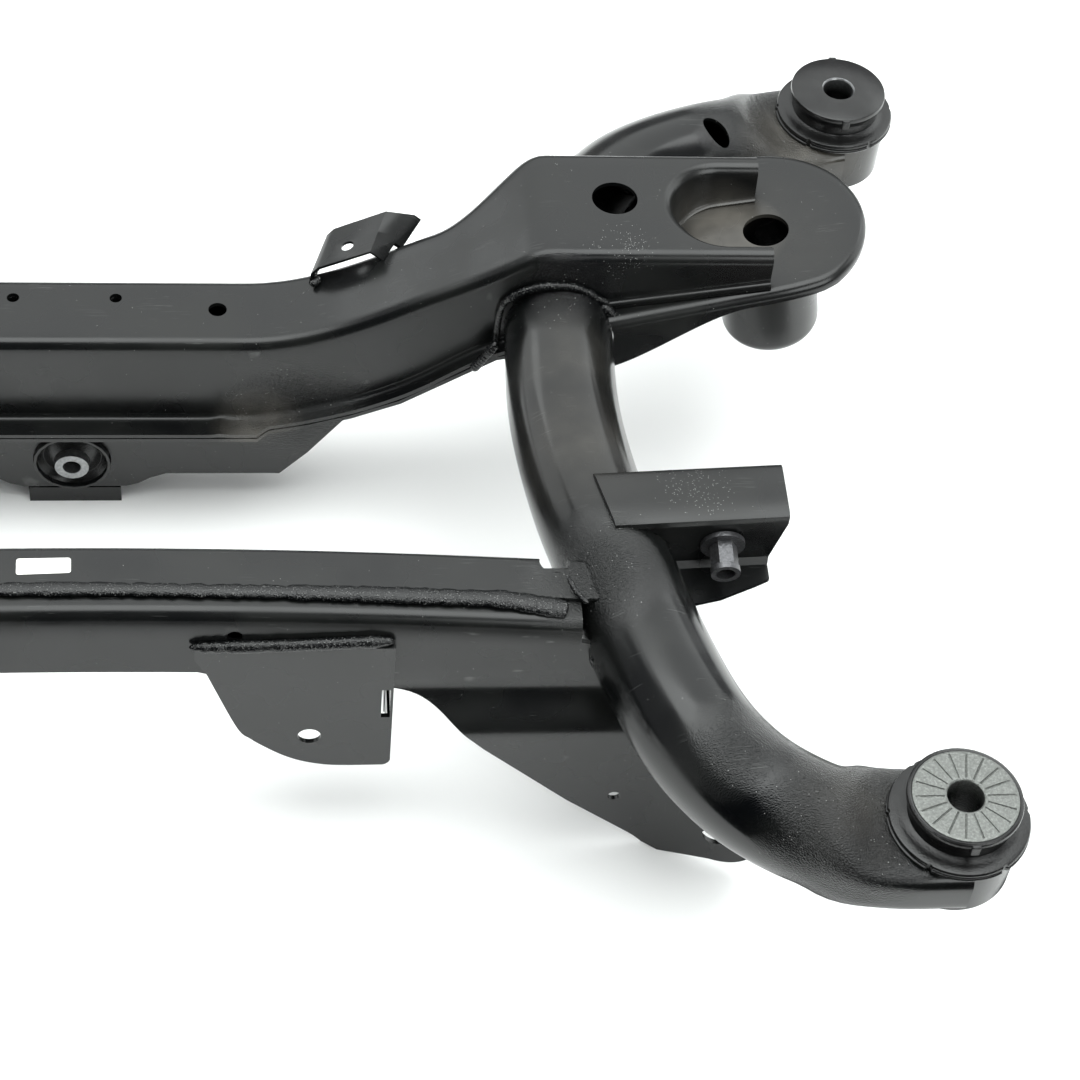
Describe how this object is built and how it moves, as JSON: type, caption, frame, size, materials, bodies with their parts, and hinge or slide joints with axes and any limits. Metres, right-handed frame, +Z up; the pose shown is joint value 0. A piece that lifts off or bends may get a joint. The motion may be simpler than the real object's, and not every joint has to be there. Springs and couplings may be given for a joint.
{
  "type": "rear axle subframe",
  "caption": "Car rear subframe with a hat-section beam, a box beam, bent side tubes with rubber body mounts, spring ears, arm brackets and link brackets.",
  "frame": {"origin": "on the floor below the middle of the frame's box", "axes": "+X to the car's right as seen from behind in the picture, +Y to the rear beam, +Z up; rests on its arm brackets and rear beam"},
  "size_m": [1.127, 0.664, 0.238],
  "materials": {
    "black_coat": "semi-gloss black coat over weld and press marks",
    "rubber": "moulded black rubber",
    "serrated_steel": "serrated grey steel face",
    "bare_steel": "dull grey steel",
    "zinc_steel": "dark coated steel"
  },
  "bodies": {
    "root": {"arm_leaf_left": "black_coat", "arm_leaf_right": "black_coat", "clip_tab_left": "black_coat", "clip_tab_right": "black_coat", "diff_bush_core": "bare_steel", "diff_bush_rubber": "rubber", "diff_bush_shell": "black_coat", "ear_cup_left": "black_coat", "ear_cup_right": "black_coat", "ear_plate_left": "black_coat", "ear_plate_right": "black_coat", "front_beam_cap": "black_coat", "front_beam_floor": "black_coat", "front_beam_shell": "black_coat", "front_bush_core_left": "serrated_steel", "front_bush_core_right": "serrated_steel", "front_bush_rubber_left": "rubber", "front_bush_rubber_right": "rubber", "front_bush_shell_left": "black_coat", "front_bush_shell_right": "black_coat", "front_collar_left": "black_coat", "front_collar_right": "black_coat", "link_leaf_front_left": "black_coat", "link_leaf_front_right": "black_coat", "link_leaf_rear_left": "black_coat", "link_leaf_rear_right": "black_coat", "outrigger_left": "black_coat", "outrigger_nut_left": "zinc_steel", "outrigger_nut_right": "zinc_steel", "outrigger_right": "black_coat", "rear_beam_lower": "black_coat", "rear_beam_upper": "black_coat", "rear_bush_core_left": "rubber", "rear_bush_core_right": "rubber", "rear_bush_rubber_left": "rubber", "rear_bush_rubber_right": "rubber", "rear_bush_shell_left": "black_coat", "rear_bush_shell_right": "black_coat", "rear_collar_left": "black_coat", "rear_collar_right": "black_coat", "side_tube_left": "black_coat", "side_tube_right": "black_coat", "weld_nut_left": "zinc_steel", "weld_nut_right": "zinc_steel"}
  },
  "joints": []
}
